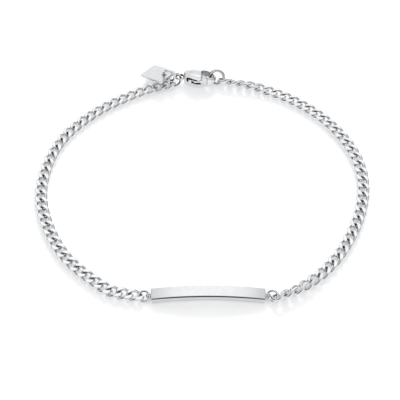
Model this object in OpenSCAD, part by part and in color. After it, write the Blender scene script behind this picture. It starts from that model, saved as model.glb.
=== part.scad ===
// Nameplate bracelet, fastened and lying flat, in millimetres.
// The table is z = 0, the bar is at the front (-Y) and the clasp is at the back.

/* [Curb chain] */
// Wire thickness of a link
link_wire = 0.54; // [0.48:0.01:0.55]
// Width of a link over its wires
link_w = 2.4; // [2.3:0.02:2.6]
// Distance from one link to the next
link_pitch = 1.945; // [1.9:0.005:2.1]
// Play between two links that hold each other
link_play = 0.22; // [0.2:0.01:0.26]
// How far each side of a link is twisted up or down
link_twist = 0.4; // [0.4:0.01:0.45]

/* [Bar] */
// Length of the bar, straight from end to end
bar_l = 19.9; // [15:0.1:26]
// Width of the bar
bar_w = 2.4; // [1.8:0.1:4]
// Thickness of the bar
bar_t = 1.35; // [1:0.05:1.6]
// Rise of the bar's middle over its ends
bar_rise = 0.95; // [0.6:0.05:1.5]
// Rounding of the bar's long edges
bar_edge = 0.16; // [0.1:0.02:0.3]
// Place of the bar's middle, across and back
bar_at = [1.1, -27.8];

/* [Bar rings] */
// Wire of the eyes on the bar
eye_wire = 0.36; // [0.3:0.02:0.4]
// Diameter of the eyes over the wire
eye_d = 1.44; // [1.4:0.02:1.6]
// Wire of the two rings beside the bar
bar_ring_wire = 0.45; // [0.38:0.01:0.45]
// Diameter of the two rings beside the bar
bar_ring_d = 2.39; // [2.35:0.01:2.45]

/* [Clasp] */
// Diameter of the hook
hook_d = 3.7; // [3.6:0.05:3.8]
// Width of the hook's band, from its outside to its hole
hook_band = 0.62; // [0.6:0.02:0.66]
// Greatest thickness of the clasp
clasp_t = 3; // [2.8:0.1:3.1]
// Thickness of the lever inside the body
lever_t = 0.7; // [0.5:0.05:0.8]
// Gap between the lever and each cheek of the body
lever_gap = 0.07; // [0.05:0.01:0.1]
// Diameter of the rivet
pin_d = 0.5; // [0.4:0.05:0.6]
// Radial play of the lever on the rivet
pin_play = 0.03; // [0.02:0.01:0.06]
// Wire of the tail eye
tail_wire = 0.42; // [0.35:0.01:0.5]
// Diameter of the tail eye over its wire
tail_d = 2.12; // [2:0.02:2.3]

/* [Rings at the clasp] */
// Diameter of the ring that the hook holds
closure_ring_d = 3.54; // [3.5:0.01:3.58]
// Wire of the ring that the hook holds
closure_ring_wire = 0.66; // [0.6:0.01:0.68]
// Diameter of the ring at the clasp's tail
clasp_ring_d = 3.18; // [3.15:0.01:3.2]
// Wire of the ring at the clasp's tail
clasp_ring_wire = 0.46; // [0.4:0.01:0.48]
// Diameter of the tag's ring
tag_ring_d = 2.92; // [2.8:0.02:3]
// Wire of the tag's ring
tag_ring_wire = 0.42; // [0.36:0.02:0.46]

/* [Tag] */
// Side of the square tag
tag_w = 5.5; // [5.2:0.1:5.6]
// Thickness of the tag
tag_t = 0.5; // [0.4:0.05:0.6]
// Radius of the tag's corners
tag_corner = 0.55; // [0.3:0.05:1]
// Diameter of the hole in the tag
tag_hole_d = 1.1; // [1:0.05:1.3]

/* [Hidden] */

SILVER = [0.86, 0.87, 0.89];
BRIGHT = [0.92, 0.93, 0.94];
SATIN = [0.80, 0.81, 0.82];

// Where the left strand lies, from the bar round to the clasp: columns x, y
LEFT_RUN = [
    [-11.86, -27.75],
    [-14.5, -27.2],
    [-17.8, -25.85],
    [-25.1, -19.25],
    [-29.65, -10.1],
    [-30.65, -1.3],
    [-27.9, 8.4],
    [-21.6, 15.95],
    [-13.6, 21.2],
    [-6.928, 23.722]];
// Where the right strand lies, from the bar round to the clasp: columns x, y
RIGHT_RUN = [
    [13.81, -28.0],
    [19.2, -25.1],
    [24.7, -19.4],
    [28.9, -11.6],
    [30.9, -2.8],
    [29.7, 5.6],
    [25.1, 13.6],
    [18.4, 19.5],
    [11.0, 23.1],
    [4.86, 24.48]];
// Steps of the curve between two rows of a run
RUN_STEPS = 12;
// Roll of a strand's end links about the strand, fading out over ROLL_FADE links: start, end
LEFT_ROLL = [2, -7.5];
RIGHT_ROLL = [-54, 49.4];
ROLL_FADE = 5;
// Corners along a link, and round its wire
LINK_STEPS = 12;
WIRE_SIDES = 6;

// Half length and half width of a link's middle line
link_a = (link_pitch + link_wire + link_play) / 2;
link_b = (link_w - link_wire) / 2;

// Radius of the bar's underside, and half of the angle that it spans
bar_r = bar_l * bar_l / (8 * bar_rise) + bar_rise / 2;
bar_half = asin(bar_l / 2 / bar_r);
// The bar's eyes stand a little out of its ends, at this height
eye_out = 0.5;
eye_z = 0.73;
// Rings in the bar's eyes: way off the eye, then how they lean and turn
LEFT_RING_OFF = [-0.96, -0.05, -0.02];
LEFT_RING_LEAN = 22.7;
LEFT_RING_TURN = 0;
RIGHT_RING_OFF = [0.96, -0.06, 0.13];
RIGHT_RING_LEAN = 23.2;
RIGHT_RING_TURN = -22.9;

// Clasp frame: +x towards the hook, +y to the back, z through its thickness
CLASP_AT = [-1.35, 25.1, 1.5];
CLASP_TURN = [-10, 0, -2];
HOOK_C = [2.55, 0.1];
// Angles that the hook's band and the lever's gate span round HOOK_C, before they are parted
HOOK_ARC = [-101.25, 150];
GATE_ARC = [-150, -41.25];
// The gate parts from the hook's tip here, at this angle, so that it swings inwards freely
PART_AT = [2.6, -1.5];
PART_ANGLE = -27;
PART_BLOCK = 3;
part_gap = 0.06;
// The hook's band is first made wider than it is by this much, then its round hole is cut
HOLE_SPARE = 0.2;
// The lever's pivot: the cheeks end nearer to it than the broad gate begins
PIVOT = [-0.9, -0.1];
cheek_r = 2.62;
gate_r = 2.69;
TAIL_X = -3.15;
slot_t = lever_t + 2 * lever_gap;
// The clasp's faces are domed: radii along and across it, and where they are highest
DOME_LONG = 9.5;
DOME_ACROSS = 4.5;
DOME_AT = [-0.33, -0.41];

// The cheeks' slot: its corner and its size in the clasp's plan
SLOT_AT = [-1.75, -2.5];
SLOT_SIZE = [3.2, 3.12];
// Room that the gate swings into, taken off the cheeks beyond cheek_r: its corner and its size
ROOM_AT = [1, -2.5];
ROOM_SIZE = [1.6, 2.9];
// The rivet's hole is wider than the rivet by this much, and the rivet ends below each cheek's face
pin_hole_extra = 0.02;
pin_sunk = 0.03;
// Round spots that the body's plan and the lever's plan are drawn round: x, y, radius
BODY_SPOTS = [[-1.65, -0.05, 0.7], [-0.35, 0.35, 1.6], [0.75, -1.25, 0.6], [1.8, 1.45, 0.31]];
THUMB_SPOT = [-1.0, -1.2, 0.35];
ARM_SPOTS = [[0.1, -1.3, 0.33], [1.75, -1.25, 0.28]];
lever_boss_r = 0.55;

// Rings at the clasp: place, lean and turn
CLOSURE_RING_AT = [3.156, 25.1, 1.552];
CLOSURE_RING_LEAN = 57.9;
CLOSURE_RING_TURN = -10.3;
CLASP_RING_AT = [-5.56, 24.389, 1.487];
CLASP_RING_LEAN = 67.1;
CLASP_RING_TURN = 29.1;
TAG_RING_AT = [-6.767, 24.732, 2.385];
TAG_RING_LEAN = 85.7;
TAG_RING_TURN = -24.2;

TAG_AT = [-9.1, 26.0, 1.55];
TAG_TILT = [-18, 0, 0];
TAG_TURN = [0, 0, -33];
TAG_HOLE_X = 1.6;

// Helpers: curves

function smooth_step(p, q, r, s, t) = // point at t between q and r, on a smooth curve through all four
    0.5 * (2 * q + (r - p) * t + (2 * p - 5 * q + 4 * r - s) * t * t + (3 * q - p - 3 * r + s) * t * t * t);

function run_points(run) = let (n = len(run) - 1) [
    for (i = [0:n - 1])
        for (k = [0:RUN_STEPS - 1])
            smooth_step(i > 0 ? run[i - 1] : 2 * run[0] - run[1], run[i], run[i + 1],
                i < n - 1 ? run[i + 2] : 2 * run[n] - run[n - 1], k / RUN_STEPS),
    run[n]];

function run_lengths(points) = [
    for (i = 0, s = 0; i < len(points);
         i = i + 1, s = s + (i < len(points) ? norm(points[i] - points[i - 1]) : 0)) s];

function column(points, lengths, c) = [for (i = [0:len(points) - 1]) [lengths[i], points[i][c]]];

// Middle line of a link that is rolled about its own length, about its centre
function link_line(roll) = [
    for (k = [0:LINK_STEPS - 1])
        let (t = 360 * (k + 0.5) / LINK_STEPS, y = link_b * sin(t), z = -link_twist * sin(2 * t))
            [link_a * cos(t), y * cos(roll) - z * sin(roll), y * sin(roll) + z * cos(roll)]];

// A link laid on the table, as rings of corners round its wire
function link_corners(at, heading, roll) = let (
    line = link_line(roll),
    lift = link_wire / 2 - min([for (p = line) p[2]]),
    n = LINK_STEPS)
    [for (k = [0:n - 1]) let (
        p = line[k],
        step = line[(k + 1) % n] - line[(k + n - 1) % n],
        along = step / norm(step),
        out = p - (p * along) * along,
        side = out / norm(out),
        up = cross(along, side))
        for (j = [0:WIRE_SIDES - 1]) let (
            a = 360 * (j + 0.5) / WIRE_SIDES,
            q = p + link_wire / 2 * (cos(a) * side + sin(a) * up))
            [at[0] + q[0] * cos(heading) - q[1] * sin(heading),
             at[1] + q[0] * sin(heading) + q[1] * cos(heading),
             lift + q[2]]];

function link_faces(first) = [
    for (k = [0:LINK_STEPS - 1])
        for (j = [0:WIRE_SIDES - 1]) let (
            k2 = (k + 1) % LINK_STEPS,
            j2 = (j + 1) % WIRE_SIDES,
            a = first + k * WIRE_SIDES + j,
            b = first + k2 * WIRE_SIDES + j,
            c = first + k2 * WIRE_SIDES + j2,
            d = first + k * WIRE_SIDES + j2)
            each [[a, b, c], [a, c, d]]];

// Helpers: shapes

module ring(d, wire) {
    rotate_extrude($fn = 64) translate([(d - wire) / 2, 0]) circle(d = wire, $fn = 24);
}

// A ring's place: leaned about X, then turned about Z, then moved
module placed(at, lean, turn) {
    translate(at) rotate([0, 0, turn]) rotate([lean, 0, 0]) children();
}

module strand(run, rolls) {
    points = run_points(run);
    lengths = run_lengths(points);
    xs = column(points, lengths, 0);
    ys = column(points, lengths, 1);
    total = lengths[len(lengths) - 1];
    last = round(total / link_pitch);
    pitch = total / last;
    corners = [for (i = [0:last]) let (
        s = i * pitch,
        near = max(0, s - pitch / 2),
        far = min(total, s + pitch / 2),
        heading = atan2(lookup(far, ys) - lookup(near, ys), lookup(far, xs) - lookup(near, xs)),
        roll = rolls[0] * max(0, 1 - i / ROLL_FADE) + rolls[1] * max(0, 1 - (last - i) / ROLL_FADE))
        each link_corners([lookup(s, xs), lookup(s, ys)], heading, roll)];
    polyhedron(points = corners,
        faces = [for (i = [0:last]) each link_faces(i * LINK_STEPS * WIRE_SIDES)]);
}

module rounded_plan(w, h, r) {
    square([w - 2 * r, h], center = true);
    square([w, h - 2 * r], center = true);
    for (x = [-1, 1], y = [-1, 1])
        translate([x * (w / 2 - r), y * (h / 2 - r)]) circle(r = r, $fn = 32);
}

module spot(s) {
    translate([s[0], s[1]]) circle(r = s[2], $fn = 32);
}

module in_clasp() {
    translate(CLASP_AT) rotate(CLASP_TURN) children();
}

// Part of the hook's round band, between two angles, still a little too wide on its inside
module hook_arc(arc) {
    wide = hook_band + HOLE_SPARE;
    translate(HOOK_C) rotate([0, 0, arc[0]])
        rotate_extrude(angle = arc[1] - arc[0], $fn = 96)
            translate([hook_d / 2 - wide, -clasp_t / 2]) square([wide, clasp_t]);
}

// A round bar through the clasp's whole thickness
module through(at, r, sides) {
    translate([at[0], at[1], -clasp_t]) cylinder(r = r, h = 2 * clasp_t, $fn = sides);
}

module hook_hole() {
    through(HOOK_C, hook_d / 2 - hook_band, 96);
}

// Block on one side of the line where the gate parts from the hook: side 1 is the hook's
module parting(side) {
    translate(PART_AT) rotate([0, 0, PART_ANGLE])
        translate([side > 0 ? -part_gap : -PART_BLOCK, -PART_BLOCK / 2, -clasp_t])
            cube([PART_BLOCK + part_gap, PART_BLOCK, 2 * clasp_t]);
}

// Solid whose upper face, with side 1, or lower face, with side -1, is the clasp's dome
module dome(side) {
    translate([DOME_AT[0], DOME_AT[1], side * (clasp_t / 2 - DOME_LONG)]) rotate([90, 0, 0])
        rotate_extrude($fn = 192) translate([DOME_LONG - DOME_ACROSS, 0]) circle(r = DOME_ACROSS, $fn = 128);
}

module domed() {
    intersection() {
        children();
        dome(1);
        dome(-1);
    }
}

// Sub-parts

module nameplate() {
    color(BRIGHT) {
        translate([bar_at[0], bar_at[1], bar_rise - bar_r]) rotate([90, 0, 0]) rotate([0, 0, 90 - bar_half])
            rotate_extrude(angle = 2 * bar_half, $fn = 720)
                translate([bar_r + bar_t / 2, 0]) rounded_plan(bar_t, bar_w, bar_edge);
        for (s = [-1, 1])
            translate([bar_at[0] + s * (bar_l / 2 + eye_out), bar_at[1], eye_z])
                rotate([90, 0, 0]) rotate([0, 0, 90 * s]) ring(eye_d, eye_wire);
    }
}

// A ring through one of the bar's eyes: side, way off the eye, lean and turn
module bar_ring(side, off, lean, turn) {
    eye = [bar_at[0] + side * (bar_l / 2 + eye_out), bar_at[1], eye_z];
    placed(eye + off, lean, turn) ring(bar_ring_d, bar_ring_wire);
}

module nameplate_ring_left() {
    color(SILVER) bar_ring(-1, LEFT_RING_OFF, LEFT_RING_LEAN, LEFT_RING_TURN);
}

module nameplate_ring_right() {
    color(SILVER) bar_ring(1, RIGHT_RING_OFF, RIGHT_RING_LEAN, RIGHT_RING_TURN);
}

module chain_left() {
    color(SILVER) strand(LEFT_RUN, LEFT_ROLL);
}

module chain_right() {
    color(SILVER) strand(RIGHT_RUN, RIGHT_ROLL);
}

module closure_ring() {
    color(SILVER) placed(CLOSURE_RING_AT, CLOSURE_RING_LEAN, CLOSURE_RING_TURN)
        ring(closure_ring_d, closure_ring_wire);
}

// Plan of the clasp's body: a drop that is fullest behind the rivet and runs out into the hook
module body_plan() {
    difference() {
        union() {
            hull() for (i = [0:2]) spot(BODY_SPOTS[i]);
            hull() for (i = [1, 3]) spot(BODY_SPOTS[i]);
        }
        difference() {
            translate(ROOM_AT) square(ROOM_SIZE);
            translate(PIVOT) circle(r = cheek_r, $fn = 96);
        }
    }
}

module clasp_body() {
    color(BRIGHT) in_clasp() difference() {
        union() {
            domed() difference() {
                union() {
                    linear_extrude(height = clasp_t, center = true) body_plan();
                    difference() {
                        hook_arc(HOOK_ARC);
                        parting(-1);
                    }
                }
                hook_hole();
            }
            translate([TAIL_X, 0, 0]) ring(tail_d, tail_wire);
        }
        translate([SLOT_AT[0], SLOT_AT[1], -slot_t / 2]) cube([SLOT_SIZE[0], SLOT_SIZE[1], slot_t]);
        through(PIVOT, (pin_d + pin_hole_extra) / 2, 32);
    }
}

// The lever's plan: a boss on the rivet, a thumb piece and an arm that carries the gate
module lever_plan() {
    hull() {
        spot([PIVOT[0], PIVOT[1], lever_boss_r]);
        spot(THUMB_SPOT);
    }
    hull() {
        spot([PIVOT[0], PIVOT[1], lever_boss_r]);
        for (s = ARM_SPOTS) spot(s);
    }
}

module clasp_lever() {
    color(SILVER) in_clasp() difference() {
        union() {
            linear_extrude(height = lever_t, center = true) lever_plan();
            domed() difference() {
                hook_arc(GATE_ARC);
                parting(1);
                through(PIVOT, gate_r, 96);
                hook_hole();
            }
        }
        through(PIVOT, pin_d / 2 + pin_play, 32);
    }
}

module clasp_pin() {
    color(BRIGHT) in_clasp() translate([PIVOT[0], PIVOT[1], -clasp_t / 2 + pin_sunk])
        cylinder(d = pin_d, h = clasp_t - 2 * pin_sunk, $fn = 32);
}

module clasp_ring() {
    color(SILVER) placed(CLASP_RING_AT, CLASP_RING_LEAN, CLASP_RING_TURN)
        ring(clasp_ring_d, clasp_ring_wire);
}

module tag_ring() {
    color(SILVER) placed(TAG_RING_AT, TAG_RING_LEAN, TAG_RING_TURN)
        ring(tag_ring_d, tag_ring_wire);
}

module tag() {
    color(SATIN) translate(TAG_AT) rotate(TAG_TILT) rotate(TAG_TURN) difference() {
        linear_extrude(height = tag_t, center = true) rounded_plan(tag_w, tag_w, tag_corner);
        translate([TAG_HOLE_X, 0, -1]) cylinder(d = tag_hole_d, h = 2, $fn = 32);
    }
}

nameplate();
nameplate_ring_left();
nameplate_ring_right();
chain_left();
chain_right();
closure_ring();
clasp_body();
clasp_lever();
clasp_pin();
clasp_ring();
tag_ring();
tag();
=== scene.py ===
import math

import bpy
import numpy as np
from mathutils import Euler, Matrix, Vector
from mathutils.bvhtree import BVHTree


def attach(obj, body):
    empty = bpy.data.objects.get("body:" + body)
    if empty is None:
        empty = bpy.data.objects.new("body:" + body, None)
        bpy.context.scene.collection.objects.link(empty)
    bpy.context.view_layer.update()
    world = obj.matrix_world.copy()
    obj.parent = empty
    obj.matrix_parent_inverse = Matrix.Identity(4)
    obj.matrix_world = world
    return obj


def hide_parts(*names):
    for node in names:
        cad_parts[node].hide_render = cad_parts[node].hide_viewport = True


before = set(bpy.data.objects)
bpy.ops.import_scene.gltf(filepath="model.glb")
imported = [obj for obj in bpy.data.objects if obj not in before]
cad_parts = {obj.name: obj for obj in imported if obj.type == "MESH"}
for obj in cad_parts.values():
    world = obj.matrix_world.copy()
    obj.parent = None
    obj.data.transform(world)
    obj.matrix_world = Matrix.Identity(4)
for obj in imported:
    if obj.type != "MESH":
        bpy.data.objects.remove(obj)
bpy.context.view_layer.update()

# The looks of a nameplate bracelet that lies fastened on a white table.
# Sizes are in millimetres where nothing else is said, and angles in degrees. Each mesh is worked out in
# millimetres, and make_piece() scales it to metres.

MM = 0.001
# Decimals kept when the corners of a CAD mesh are merged
CORNER_DECIMALS = 3

# Camera: it looks down on the loop from the nameplate's side
CAMERA_TARGET = (-0.357, -5.743, 0.0)
CAMERA_DISTANCE = 205.99
CAMERA_ELEVATION = 52.5
CAMERA_LENS = 97.2
CAMERA_SENSOR = 36.0
# Nearest and farthest distance that it sees, in metres
CAMERA_CLIP = (0.01, 10)

# Light tent round the object: strength at the horizon and overhead, and the heights on the unit sphere
# between which one turns into the other
TENT_COLOUR = (0.985, 0.992, 1.0, 1)
TENT_HORIZON, TENT_TOP = 0.7, 0.8
TENT_LOW_Z, TENT_HIGH_Z = 0.1, 1.0
# Soft panels and gaps in the tent: azimuth, elevation, inner and outer radius in degrees, gain, and how
# each acts on the tent's strength
TENT_SPOTS = (
    (180, 53, 3, 25, 0.48, "ADD"),
    (180, 14, 8, 26, 0.25, "ADD"),
    (0, 40, 10, 34, 0.1, "MULTIPLY"),
    (-100, 12, 8, 40, 0.1, "MULTIPLY"),
    (100, 12, 8, 40, 0.1, "MULTIPLY"))

# Key panel behind the clasp: azimuth, elevation, distance and diameter in metres, power in watts
KEY_AZIMUTH, KEY_ELEVATION = 180, 34
KEY_DISTANCE, KEY_DIAMETER, KEY_POWER = 0.6, 0.2, 1.3

# Table: half its side in metres, its tones, and the light that it gives back by itself
TABLE_HALF = 1.5
TABLE_DARK = (0.93, 0.93, 0.935)
TABLE_LIGHT = (0.95, 0.95, 0.95)
TABLE_ROUGHNESS = 0.6
TABLE_SPECULAR = 0.2
TABLE_GLOW = 0.34

# Curb link: a wire along a twisted oval
LINK_WIRE = 0.67
LINK_HALF_LENGTH = 1.3525
LINK_HALF_WIDTH = 0.94
LINK_TWIST = 0.40
LINK_STEPS = 64
LINK_SIDES = 20
# Height of its ground flats from its middle plane, and how close to that height counts as on them
LINK_FLAT = 0.5
FLAT_TOLERANCE = 0.002
# Its inner wall near its ends gets painted shade, a dark metal where the neighbouring links crowd it. Both
# limits
# are cosines: of the turn round the wire from its outer side, and of the turn along the link from its end
LINK_SHADE_INNER = -0.2
LINK_SHADE_END = 0.5

# Rings: width of the hairline cut, and the limit of the inner wall that gets painted shade, a cosine as for
# a link
RING_CUT = 0.035
RING_SHADE_INNER = -0.4
RING_STEPS = 96
RING_SIDES = 20
RING_CREASE = 50
# Where each ring is cut, in radians round it
RING_CUT_AT = {
    "nameplate_ring_left": 0.8,
    "nameplate_ring_right": 2.4,
    "closure_ring": 4.0,
    "clasp_ring": 1.7,
    "tag_ring": 5.2}
# The two rings at the clasp's tail lie in each other's shade, so their inner walls get the darkest painted
# shade
DEEP_SHADE_RINGS = ("clasp_ring", "tag_ring")

# Nameplate: a bar of one arc with rounded ends
PLATE_THICKNESS = 1.35
PLATE_STEPS = 120
PLATE_END_ROUND = 0.1
PLATE_END_STEPS = 4
PLATE_CREASE = 30
# Flat facet along its upper front edge: its width, and how many degrees up from the front it faces
FACET_NORMAL = 48
FACET_WIDTH = 0.15
# Radii of its edges: over and under the facet, along both lower edges, and along the upper back edge
EDGE_TOP_RADIUS = 0.12
EDGE_SIDE_RADIUS = 0.32
EDGE_LOW_RADIUS = 0.12
EDGE_BACK_RADIUS = 0.06
EDGE_STEPS = 6
# How far from a rounded edge the points lie that hold the flat face beside it flat
EDGE_HOLD = 0.01
# Wire eyes at its ends: outer diameter, wire, and their middle's place past the bar and over the table
EYE_DIAMETER = 1.44
EYE_WIRE = 0.38
EYE_OUT = 0.5
EYE_HEIGHT = 0.73

# Clasp, lever and tag: how each lies, as turns about X, Y and Z, then the cell of its rebuilt skin and the
# rounds of smoothing. The lever lies as the clasp does
CLASP_LIE = (-10, 0, -2)
CLASP_CELL, CLASP_ROUNDS = 0.045, 10
LEVER_CELL, LEVER_ROUNDS = 0.035, 8
TAG_LIE = (-18, 0, 0)
TAG_CELL, TAG_ROUNDS = 0.05, 8
# How far one round of smoothing moves each corner towards its neighbours' middle, as a share
EASE_FACTOR = 0.5
# Places of the clasp that get painted shade, in its own frame, which lies at CLASP_AT: faces of body and
# lever that are close to each other, up to SEAM_END along the clasp, and the walls of its two round holes
CLASP_AT = (-1.35, 25.1, 1.5)
SEAM_REACH = 0.25
SEAM_END = 1.15
HOOK_HOLE_AT = (2.55, 0.1)
HOOK_HOLE_REACH = 1.33
TAIL_EYE_AT = (-3.15, 0.0)
TAIL_EYE_REACH = 0.85

# Rivet: width of its eased edge, and that edge's rounding and the head's crown as shares of it
RIVET_EDGE = 0.06
RIVET_ROUNDING = 0.3
RIVET_CROWN = 0.1
# Where the crown ends, as a share of the rivet's radius
RIVET_CROWN_REACH = 0.4
RIVET_SIDES = 48
RIVET_CREASE = 40

# Surface noise: scales in cells per metre, levels of detail, and the range that its values keep to
BUFFING_SCALE = 900.0
SCRATCH_SCALE, SCRATCH_STRETCH = 9000.0, (1, 1, 3)
PATCH_SCALE = 1500.0
GRAIN_SCALE, GRAIN_STRETCH = 14000.0, (1, 0.12, 1)
TABLE_SCALE = 60.0
SOFT_DETAIL, FINE_DETAIL = 2.0, 3.0
NOISE_LOW, NOISE_HIGH = 0.3, 0.7
# Depth of the buffing's waves and of the satin grain
BUFFING_DEPTH = 0.02
GRAIN_DEPTH = 0.01


# Reading the frame

def node_points(node):
    """Unique corners of a CAD node, in millimetres, with its faces as corner numbers."""
    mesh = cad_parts[node].data
    raw = np.array([v.co for v in mesh.vertices]) / MM
    points, which = np.unique(raw.round(CORNER_DECIMALS), axis=0, return_inverse=True)
    which = which.reshape(-1)
    faces = [[int(which[i]) for i in p.vertices] for p in mesh.polygons]
    return points, faces


def loose_parts(points, faces):
    """Groups of corners that faces join, as a list of point arrays."""
    parent = list(range(len(points)))

    def top(i):
        while parent[i] != i:
            parent[i] = parent[parent[i]]
            i = parent[i]
        return i

    for face in faces:
        for i in face[1:]:
            parent[top(i)] = top(face[0])
    groups = {}
    for i in range(len(points)):
        groups.setdefault(top(i), []).append(i)
    return [points[g] for g in groups.values()]


def own_axes(points):
    """Centre of some points and their three main directions, longest first, right-handed."""
    centre = points.mean(axis=0)
    _, _, axes = np.linalg.svd(points - centre, full_matrices=False)
    if np.linalg.det(axes) < 0:
        axes[2] = -axes[2]
    return centre, axes


def turned(lie):
    """Turn of a piece about X, then Y, then Z, as a 3 by 3 array."""
    return np.array(Euler([math.radians(a) for a in lie], "XYZ").to_matrix())


# Building meshes

def make_piece(name, points, faces, material, body, crease=None):
    """A smooth piece that rides on a body. Edges sharper than the crease, in degrees, stay sharp."""
    mesh = bpy.data.meshes.new(name)
    mesh.from_pydata([Vector(p) * MM for p in points], [], faces)
    mesh.validate()
    mesh.update()
    for polygon in mesh.polygons:
        polygon.use_smooth = True
    piece = bpy.data.objects.new(name, mesh)
    bpy.context.scene.collection.objects.link(piece)
    if crease is not None:
        mesh.set_sharp_from_angle(angle=math.radians(crease))
    mesh.materials.append(material)
    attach(piece, body)
    return piece


def add_material(piece, material):
    """Gives a piece one more material, and returns the number that its faces know it by."""
    piece.data.materials.append(material)
    return len(piece.data.materials) - 1


def sweep(line, radius, sides, closed=True):
    """Round wire along a line of points, with flat ends where it isn't closed."""
    n = len(line)
    centre = line.mean(axis=0)
    points = []
    for k in range(n):
        if closed:
            step = line[(k + 1) % n] - line[k - 1]
        else:
            step = line[min(k + 1, n - 1)] - line[max(k - 1, 0)]
        along = step / np.linalg.norm(step)
        out = line[k] - centre
        out = out - out.dot(along) * along
        side = out / np.linalg.norm(out)
        up = np.cross(along, side)
        for j in range(sides):
            a = 2 * math.pi * (j + 0.5) / sides
            points.append(line[k] + radius * (math.cos(a) * side + math.sin(a) * up))
    faces = []
    for k in range(n if closed else n - 1):
        k2 = (k + 1) % n
        for j in range(sides):
            j2 = (j + 1) % sides
            faces.append([k * sides + j, k * sides + j2, k2 * sides + j2, k2 * sides + j])
    if not closed:
        faces.append(list(reversed(range(sides))))
        faces.append([(n - 1) * sides + j for j in range(sides)])
    return np.array(points), faces


def faces_inward(count, sides, limit):
    """Whether a wire's face lies on its inner wall, from the face's number in a sweep."""
    return math.cos(2 * math.pi * (count % sides + 1) / sides) < limit


def lofted(rows):
    """Skin over rows of points that run the same way round, with a flat face on the first and the last."""
    n = len(rows[0])
    faces = []
    for k in range(len(rows) - 1):
        for j in range(n):
            j2 = (j + 1) % n
            faces.append([k * n + j, k * n + j2, (k + 1) * n + j2, (k + 1) * n + j])
    faces.append(list(reversed(range(n))))
    faces.append([(len(rows) - 1) * n + j for j in range(n)])
    return np.vstack(rows), faces


def joined(parts):
    """One point array and face list from several."""
    points, faces = [], []
    count = 0
    for p, f in parts:
        points.append(p)
        faces += [[i + count for i in face] for face in f]
        count += len(p)
    return np.vstack(points), faces


# Chain

def link_line():
    """Middle line of a link's wire, with the link's length along X and its width along Y."""
    t = 2 * math.pi * np.arange(LINK_STEPS) / LINK_STEPS
    return np.stack([LINK_HALF_LENGTH * np.cos(t), LINK_HALF_WIDTH * np.sin(t),
                     -LINK_TWIST * np.sin(2 * t)], axis=1)


def link_flats_and_shade(wire, faces, flat, shade_index):
    """Material number of each face of a link: ground flats, painted shade on the inner walls near its ends,
    or 0.
    """
    flats_and_shade = []
    for count, face in enumerate(faces):
        turn_along = 2 * math.pi * (count // LINK_SIDES + 0.5) / LINK_STEPS
        at_end = abs(math.cos(turn_along)) > LINK_SHADE_END
        if min(abs(wire[i, 2]) for i in face) > LINK_FLAT - FLAT_TOLERANCE:
            flats_and_shade.append(flat)
        elif at_end and faces_inward(count, LINK_SIDES, LINK_SHADE_INNER):
            flats_and_shade.append(shade_index)
        else:
            flats_and_shade.append(0)
    return flats_and_shade


def make_chain(node, material, flat_material, link_shade_material):
    """A strand: one finer link in the place of each of the CAD's."""
    wire, wire_faces = sweep(link_line(), LINK_WIRE / 2, LINK_SIDES)
    # Every link is ground flat above and below
    wire[:, 2] = np.clip(wire[:, 2], -LINK_FLAT, LINK_FLAT)
    links = []
    for part in loose_parts(*node_points(node)):
        centre, axes = own_axes(part)
        links.append((centre + wire @ axes, wire_faces))
    p, f = joined(links)
    piece = make_piece(node + "_links", p, f, material, "bracelet")
    flat = add_material(piece, flat_material)
    shade_index = add_material(piece, link_shade_material)
    # Ground flats get their own metal, and inner walls near the link ends get painted shade
    flats_and_shade = link_flats_and_shade(wire, wire_faces, flat, shade_index)
    for polygon in piece.data.polygons:
        polygon.material_index = flats_and_shade[polygon.index % len(wire_faces)]
    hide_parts(node)


# Rings

def make_ring(node, cut_angle, material, ring_shade_material):
    """A jump ring in a CAD ring's place, closed up to a hairline cut, with painted shade on its inner wall.
    """
    points, _ = node_points(node)
    centre, axes = own_axes(points)
    local = (points - centre) @ axes.T
    outer = np.hypot(local[:, 0], local[:, 1]).max()
    wire = np.ptp(local[:, 2])
    radius = outer - wire / 2
    half_cut = RING_CUT / radius / 2
    t = cut_angle + np.linspace(half_cut, 2 * math.pi - half_cut, RING_STEPS)
    line = np.stack([radius * np.cos(t), radius * np.sin(t), np.zeros(RING_STEPS)], axis=1)
    p, f = sweep(line, wire / 2, RING_SIDES, closed=False)
    placed = centre + p @ axes
    piece = make_piece(node + "_wire", placed, f, material, "bracelet", RING_CREASE)
    inner = add_material(piece, ring_shade_material)
    # Faces on the inner wall get painted shade
    for polygon in piece.data.polygons:
        if faces_inward(polygon.index, RING_SIDES, RING_SHADE_INNER):
            polygon.material_index = inner
    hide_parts(node)


# Nameplate

def arc_points(radius, start, end):
    """Points of an arc about 0, 0 with angles in degrees: 0 is outward to the side and 90 is up."""
    a = np.radians(np.linspace(start, end, EDGE_STEPS + 1))
    return radius * np.stack([np.cos(a), np.sin(a)], axis=1)


def facet_edge():
    """Outline of the upper front edge: a wide arc from the side, the flat facet, and an arc to the top."""
    side_arc = arc_points(EDGE_SIDE_RADIUS, 0, FACET_NORMAL)
    top_arc = arc_points(EDGE_TOP_RADIUS, FACET_NORMAL, 90)
    facet = math.radians(FACET_NORMAL)
    facet_end = side_arc[-1] + FACET_WIDTH * np.array([-math.sin(facet), math.cos(facet)])
    return np.vstack([side_arc, top_arc + facet_end - top_arc[0]])


def plate_section(half_width, thickness):
    """Outline of the bar's cross-section, across and up from its lower face, anticlockwise."""
    top_corner = np.array([half_width, thickness])
    low = arc_points(EDGE_LOW_RADIUS, -90, 0) + (half_width - EDGE_LOW_RADIUS, EDGE_LOW_RADIUS)
    back = arc_points(EDGE_BACK_RADIUS, 0, 90) + top_corner - EDGE_BACK_RADIUS
    front = facet_edge()
    front += top_corner - front.max(axis=0)
    halves = []
    for top in (back, front):
        halves.append(np.vstack([
            low[0] - (EDGE_HOLD, 0), low, low[-1] + (0, EDGE_HOLD),
            top[0] - (0, EDGE_HOLD), top, top[-1] - (EDGE_HOLD, 0)]))
    return np.vstack([halves[0], halves[1][::-1] * (-1, 1)])


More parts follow.
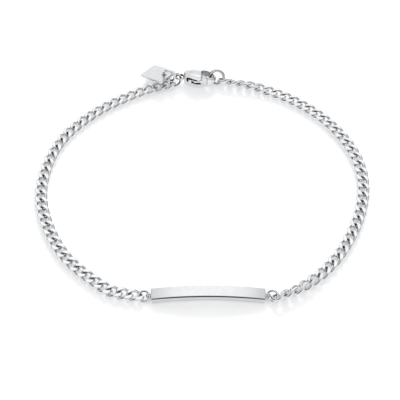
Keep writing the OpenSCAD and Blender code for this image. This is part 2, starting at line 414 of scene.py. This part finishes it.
def plate_stations(half_angle, radius):
    """Places along the bar's arc, each an angle and how far the section is inset there."""
    turns = np.radians(np.linspace(0, 90, PLATE_END_STEPS + 1))
    angles = PLATE_END_ROUND * (1 - np.cos(turns)) / radius - half_angle
    insets = PLATE_END_ROUND * (1 - np.sin(turns))
    left_end = list(zip(angles, insets))
    middle = [(a, 0.0) for a in np.linspace(-half_angle, half_angle, PLATE_STEPS)[1:-1]]
    right_end = [(-a, inset) for a, inset in reversed(left_end)]
    return left_end + middle + right_end


def curved_bar(middle, length, width, rise):
    """The bar's section carried along one arc, whose underside rises from the table by the rise."""
    radius = length ** 2 / (8 * rise) + rise / 2
    half_angle = math.asin(length / 2 / radius)
    section = plate_section(width / 2, PLATE_THICKNESS)
    heart = np.array([0, PLATE_THICKNESS / 2])
    extent = np.array([width, PLATE_THICKNESS])
    rows = []
    for angle, inset in plate_stations(half_angle, radius):
        shrunk = heart + (section - heart) * (1 - 2 * inset / extent)
        out = radius + shrunk[:, 1]
        rows.append(np.stack([middle[0] + out * math.sin(angle), middle[1] + shrunk[:, 0],
                              out * math.cos(angle) + rise - radius], axis=1))
    return lofted(rows)


def wire_eye(middle):
    """A closed ring of wire that stands upright, in line with the bar."""
    t = np.linspace(0, 2 * math.pi, RING_STEPS, endpoint=False)
    radius = (EYE_DIAMETER - EYE_WIRE) / 2
    line = middle + radius * np.stack([np.cos(t), 0 * t, np.sin(t)], axis=1)
    return sweep(line, EYE_WIRE / 2, RING_SIDES)


def make_nameplate(material):
    """The curved bar with a wire eye at each end."""
    points, _ = node_points("nameplate")
    low, high = points.min(axis=0), points.max(axis=0)
    middle = (low + high) / 2
    length = high[0] - low[0] - 2 * EYE_OUT - EYE_DIAMETER
    parts = [curved_bar(middle, length, high[1] - low[1], high[2] - PLATE_THICKNESS)]
    for side in (-1, 1):
        reach = side * (length / 2 + EYE_OUT)
        parts.append(wire_eye(np.array([middle[0] + reach, middle[1], EYE_HEIGHT])))
    p, f = joined(parts)
    piece = make_piece("nameplate_bar", p, f, material, "bracelet", PLATE_CREASE)
    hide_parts("nameplate")


# Clasp and tag

def softened(points, faces, cell, rounds):
    """The same form with every edge eased: its skin is rebuilt from small cells and smoothed."""
    mesh = bpy.data.meshes.new("draft")
    mesh.from_pydata([Vector(p) for p in points], [], faces)
    draft = bpy.data.objects.new("draft", mesh)
    bpy.context.scene.collection.objects.link(draft)
    rebuild = draft.modifiers.new("rebuild", "REMESH")
    rebuild.mode = "VOXEL"
    rebuild.voxel_size = cell
    ease = draft.modifiers.new("ease", "SMOOTH")
    ease.factor = EASE_FACTOR
    ease.iterations = rounds
    ready = draft.evaluated_get(bpy.context.evaluated_depsgraph_get()).to_mesh()
    p = np.array([v.co for v in ready.vertices])
    f = [list(q.vertices) for q in ready.polygons]
    bpy.data.objects.remove(draft)
    bpy.data.meshes.remove(mesh)
    return p, f


def make_casting(node, material, body, lie, cell, rounds):
    """A cast piece with eased edges. It is softened in its own frame, where its faces follow the cells."""
    points, faces = node_points(node)
    turn = turned(lie)
    p, f = softened(points @ turn, faces, cell, rounds)
    piece = make_piece(node + "_skin", p @ turn.T, f, material, body)
    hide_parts(node)
    return piece


def clasp_places(piece):
    """Middle of each face in the clasp's own frame: along the clasp, across it and up through it."""
    middles = np.array([polygon.center for polygon in piece.data.polygons]) / MM
    return (middles - CLASP_AT) @ turned(CLASP_LIE)


def shade_seam(piece, other, material):
    """Faces that lie close to the clasp's other half get a dark metal as painted shade, up to SEAM_END."""
    points, faces = node_points(other)
    tree = BVHTree.FromPolygons([Vector(p) for p in points], faces)
    shade_slot = add_material(piece, material)
    for polygon, place in zip(piece.data.polygons, clasp_places(piece)):
        if place[0] < SEAM_END and tree.find_nearest(polygon.center / MM, SEAM_REACH)[0]:
            polygon.material_index = shade_slot


def shade_hole(piece, at, reach, material):
    """The wall of a round hole through the clasp gets a dark metal as painted shade."""
    shade_slot = add_material(piece, material)
    for polygon, place in zip(piece.data.polygons, clasp_places(piece)):
        if math.dist(place[:2], at) < reach:
            polygon.material_index = shade_slot


def make_rivet(material):
    """The lever's rivet with both of its heads eased."""
    points, _ = node_points("clasp_pin")
    turn = turned(CLASP_LIE)
    local = points @ turn
    low, high = local.min(axis=0), local.max(axis=0)
    middle = (low + high) / 2
    radius = (high[0] - low[0]) / 2
    half = (high[2] - low[2]) / 2
    rounding = RIVET_ROUNDING * RIVET_EDGE
    head = [(radius, half - RIVET_EDGE), (radius - rounding, half - rounding), (radius - RIVET_EDGE, half),
            (RIVET_CROWN_REACH * radius, half + RIVET_CROWN * RIVET_EDGE)]
    profile = [(r, -z) for r, z in reversed(head)] + head
    around = 2 * math.pi * np.arange(RIVET_SIDES) / RIVET_SIDES
    circle = np.stack([np.cos(around), np.sin(around), 0 * around], axis=1)
    rows = [middle + r * circle + (0, 0, z) for r, z in profile]
    p, f = lofted(rows)
    placed = p @ turn.T
    piece = make_piece("clasp_pin_rivet", placed, f, material, "bracelet", RIVET_CREASE)
    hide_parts("clasp_pin")


# Materials

def new_material(name):
    """A material with its nodes, its links and its shader."""
    material = bpy.data.materials.new(name)
    material.use_nodes = True
    nodes = material.node_tree.nodes
    return material, nodes, material.node_tree.links, nodes["Principled BSDF"]


def noise(nodes, links, scale, detail, stretch=(1, 1, 1)):
    """Noise in the object's own space."""
    place = nodes.new("ShaderNodeTexCoord")
    mapping = nodes.new("ShaderNodeMapping")
    mapping.inputs["Scale"].default_value = stretch
    texture = nodes.new("ShaderNodeTexNoise")
    texture.inputs["Scale"].default_value = scale
    texture.inputs["Detail"].default_value = detail
    links.new(place.outputs["Object"], mapping.inputs["Vector"])
    links.new(mapping.outputs["Vector"], texture.inputs["Vector"])
    return texture.outputs["Fac"]


def spread(nodes, links, value, low, high):
    """Noise spread over a range."""
    span = nodes.new("ShaderNodeMapRange")
    span.inputs["From Min"].default_value = NOISE_LOW
    span.inputs["From Max"].default_value = NOISE_HIGH
    span.inputs["To Min"].default_value = low
    span.inputs["To Max"].default_value = high
    links.new(value, span.inputs["Value"])
    return span.outputs["Result"]


def two_tone(nodes, links, value, dark, light):
    """A colour between two, by a value from 0 to 1."""
    mix = nodes.new("ShaderNodeMix")
    mix.data_type = "RGBA"
    mix.inputs["A"].default_value = (*dark, 1)
    mix.inputs["B"].default_value = (*light, 1)
    links.new(value, mix.inputs["Factor"])
    return mix.outputs["Result"]


def bumped(nodes, links, value, strength, depth):
    """Surface relief from a value, with its depth in millimetres."""
    bump = nodes.new("ShaderNodeBump")
    bump.inputs["Strength"].default_value = strength
    bump.inputs["Distance"].default_value = depth * MM
    links.new(value, bump.inputs["Height"])
    return bump.outputs["Normal"]


def polished_metal(name, dark, light, roughness, wave):
    """Polished metal: faint tone and gloss changes, and a slight waviness from the buffing."""
    material, nodes, links, shader = new_material(name)
    shader.inputs["Metallic"].default_value = 1.0
    broad = noise(nodes, links, BUFFING_SCALE, SOFT_DETAIL)
    fine = noise(nodes, links, SCRATCH_SCALE, FINE_DETAIL, SCRATCH_STRETCH)
    tone = two_tone(nodes, links, spread(nodes, links, broad, 0, 1), dark, light)
    links.new(tone, shader.inputs["Base Color"])
    links.new(spread(nodes, links, fine, *roughness), shader.inputs["Roughness"])
    links.new(bumped(nodes, links, broad, wave, BUFFING_DEPTH), shader.inputs["Normal"])
    return material


def satin_metal(name, dark, light, roughness, relief):
    """Satin metal with a fine, even grain."""
    material, nodes, links, shader = new_material(name)
    shader.inputs["Metallic"].default_value = 1.0
    grain = noise(nodes, links, GRAIN_SCALE, SOFT_DETAIL, GRAIN_STRETCH)
    broad = noise(nodes, links, PATCH_SCALE, FINE_DETAIL)
    tone = two_tone(nodes, links, spread(nodes, links, broad, 0, 1), dark, light)
    links.new(tone, shader.inputs["Base Color"])
    links.new(spread(nodes, links, grain, *roughness), shader.inputs["Roughness"])
    links.new(bumped(nodes, links, grain, relief, GRAIN_DEPTH), shader.inputs["Normal"])
    return material


def plain_table():
    """The table's plain white."""
    material, nodes, links, shader = new_material("table_white")
    tone = two_tone(nodes, links, noise(nodes, links, TABLE_SCALE, SOFT_DETAIL), TABLE_DARK, TABLE_LIGHT)
    links.new(tone, shader.inputs["Base Color"])
    shader.inputs["Roughness"].default_value = TABLE_ROUGHNESS
    shader.inputs["Specular IOR Level"].default_value = TABLE_SPECULAR
    shader.inputs["Emission Color"].default_value = (1, 1, 1, 1)
    shader.inputs["Emission Strength"].default_value = TABLE_GLOW
    return material


# Stage

def make_table():
    """A flat square that the bracelet lies on."""
    half = TABLE_HALF
    corners = [(-half, -half, 0), (half, -half, 0), (half, half, 0), (-half, half, 0)]
    mesh = bpy.data.meshes.new("table")
    mesh.from_pydata(corners, [], [(0, 1, 2, 3)])
    mesh.materials.append(plain_table())
    table = bpy.data.objects.new("table", mesh)
    bpy.context.scene.collection.objects.link(table)


def toward(azimuth, elevation):
    """Unit vector to a place round the object: azimuth 0 is the nameplate's side, 180 behind the clasp."""
    a, e = math.radians(azimuth), math.radians(elevation)
    return Vector((math.sin(a) * math.cos(e), -math.cos(a) * math.cos(e), math.sin(e)))


def make_camera():
    """The camera, straight in front of the nameplate and above it."""
    back = toward(0, CAMERA_ELEVATION)
    data = bpy.data.cameras.new("camera")
    data.sensor_width = CAMERA_SENSOR
    data.lens = CAMERA_LENS
    data.clip_start, data.clip_end = CAMERA_CLIP
    camera = bpy.data.objects.new("camera", data)
    camera.location = (Vector(CAMERA_TARGET) + back * CAMERA_DISTANCE) * MM
    camera.rotation_mode = "QUATERNION"
    camera.rotation_quaternion = (-back).to_track_quat("-Z", "Y")
    bpy.context.scene.collection.objects.link(camera)
    bpy.context.scene.camera = camera


def soft_step(nodes, links, value, start, end, low, high):
    """A value that goes softly from low to high as another goes from start to end."""
    span = nodes.new("ShaderNodeMapRange")
    span.interpolation_type = "SMOOTHSTEP"
    for name, number in (("From Min", start), ("From Max", end), ("To Min", low), ("To Max", high)):
        span.inputs[name].default_value = number
    links.new(value, span.inputs["Value"])
    return span.outputs["Result"]


def combine(nodes, links, operation, a, b):
    """Two values added or multiplied."""
    node = nodes.new("ShaderNodeMath")
    node.operation = operation
    links.new(a, node.inputs[0])
    links.new(b, node.inputs[1])
    return node.outputs["Value"]


def make_world():
    """Light tent: brighter overhead, with soft panels behind and darker gaps in front and at both sides."""
    world = bpy.data.worlds.new("studio")
    bpy.context.scene.world = world
    world.use_nodes = True
    nodes, links = world.node_tree.nodes, world.node_tree.links
    way = nodes.new("ShaderNodeTexCoord").outputs["Generated"]
    parts = nodes.new("ShaderNodeSeparateXYZ")
    links.new(way, parts.inputs["Vector"])
    total = soft_step(nodes, links, parts.outputs["Z"], TENT_LOW_Z, TENT_HIGH_Z, TENT_HORIZON, TENT_TOP)
    for azimuth, elevation, inner, outer, gain, kind in TENT_SPOTS:
        dot = nodes.new("ShaderNodeVectorMath")
        dot.operation = "DOT_PRODUCT"
        links.new(way, dot.inputs[0])
        dot.inputs[1].default_value = toward(azimuth, elevation)
        start, end = math.cos(math.radians(outer)), math.cos(math.radians(inner))
        idle = 0.0 if kind == "ADD" else 1.0
        spot = soft_step(nodes, links, dot.outputs["Value"], start, end, idle, gain)
        total = combine(nodes, links, kind, total, spot)
    links.new(total, nodes["Background"].inputs["Strength"])
    nodes["Background"].inputs["Color"].default_value = TENT_COLOUR


def make_key():
    """Soft panel behind the clasp, which throws the faint shadows towards the camera."""
    data = bpy.data.lights.new("key", "AREA")
    data.shape = "DISK"
    data.size = KEY_DIAMETER
    data.energy = KEY_POWER
    key = bpy.data.objects.new("key", data)
    way = toward(KEY_AZIMUTH, KEY_ELEVATION)
    key.location = way * KEY_DISTANCE
    key.rotation_mode = "QUATERNION"
    key.rotation_quaternion = way.to_track_quat("Z", "Y")
    # Polished metal would show it as a burnt-out spot
    key.visible_glossy = False
    bpy.context.scene.collection.objects.link(key)


# Scene

bpy.context.scene.view_settings.view_transform = "Standard"
make_camera()
make_table()
make_world()
make_key()

# Metals: polished ones for the bar, the wires, the links' flats and the castings, then two darker ones that
# are painted shade, lighter in open and darker in narrow places, and the tag's satin one

SILVER_PLATE = polished_metal(
    "silver_plate", dark=(0.69, 0.7, 0.71), light=(0.73, 0.735, 0.745), roughness=(0.05, 0.1), wave=0.02)
SILVER_WIRE = polished_metal(
    "silver_wire", dark=(0.8, 0.81, 0.82), light=(0.86, 0.865, 0.875), roughness=(0.04, 0.1), wave=0.05)
SILVER_FLAT = polished_metal(
    "silver_flat", dark=(0.74, 0.75, 0.76), light=(0.8, 0.805, 0.815), roughness=(0.04, 0.1), wave=0.03)
SILVER_CAST = polished_metal(
    "silver_cast", dark=(0.74, 0.75, 0.76), light=(0.8, 0.805, 0.815), roughness=(0.03, 0.06), wave=0.05)
# Painted shade for inner walls and the hook's hole
SHADE_PAINTED_SILVER = polished_metal(
    "silver_painted_shade", dark=(0.3, 0.305, 0.31), light=(0.4, 0.405, 0.41), roughness=(0.2, 0.3), wave=0.1)
# Darker painted shade for the clasp's seam, the tail's eye and the inner walls of the two rings at the tail
DARK_SHADE_PAINTED_SILVER = polished_metal(
    "silver_painted_dark_shade", dark=(0.06, 0.06, 0.065), light=(0.12, 0.12, 0.125), roughness=(0.3, 0.4), wave=0.1)
SATIN_TAG = satin_metal(
    "satin_tag", dark=(0.78, 0.785, 0.79), light=(0.84, 0.845, 0.85), roughness=(0.3, 0.45), relief=0.35)

# Pieces

for strand in ("chain_left", "chain_right"):
    make_chain(strand, SILVER_WIRE, SILVER_FLAT, SHADE_PAINTED_SILVER)
# Rings get painted shade on their inner walls, darkest for the two at the clasp's tail
for node, cut_angle in RING_CUT_AT.items():
    make_ring(node, cut_angle, SILVER_WIRE, DARK_SHADE_PAINTED_SILVER if node in DEEP_SHADE_RINGS else SHADE_PAINTED_SILVER)
make_nameplate(SILVER_PLATE)

clasp = make_casting(
    "clasp_body", SILVER_CAST, "bracelet", CLASP_LIE, CLASP_CELL, CLASP_ROUNDS)
lever = make_casting(
    "clasp_lever", SILVER_CAST, "lever", CLASP_LIE, LEVER_CELL, LEVER_ROUNDS)
# Painted shade on the walls of the hook's hole and the tail's eye
shade_hole(clasp, HOOK_HOLE_AT, HOOK_HOLE_REACH, SHADE_PAINTED_SILVER)
shade_hole(clasp, TAIL_EYE_AT, TAIL_EYE_REACH, DARK_SHADE_PAINTED_SILVER)
# Painted shade along the seam between body and lever
shade_seam(clasp, "clasp_lever", DARK_SHADE_PAINTED_SILVER)
shade_seam(lever, "clasp_body", DARK_SHADE_PAINTED_SILVER)
make_casting("tag", SATIN_TAG, "bracelet", TAG_LIE, TAG_CELL, TAG_ROUNDS)
make_rivet(SILVER_PLATE)

# The CAD solids get the same metals, for views that show them
for node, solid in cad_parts.items():
    solid.data.materials.clear()
    solid.data.materials.append(SATIN_TAG if node == "tag" else SILVER_PLATE)
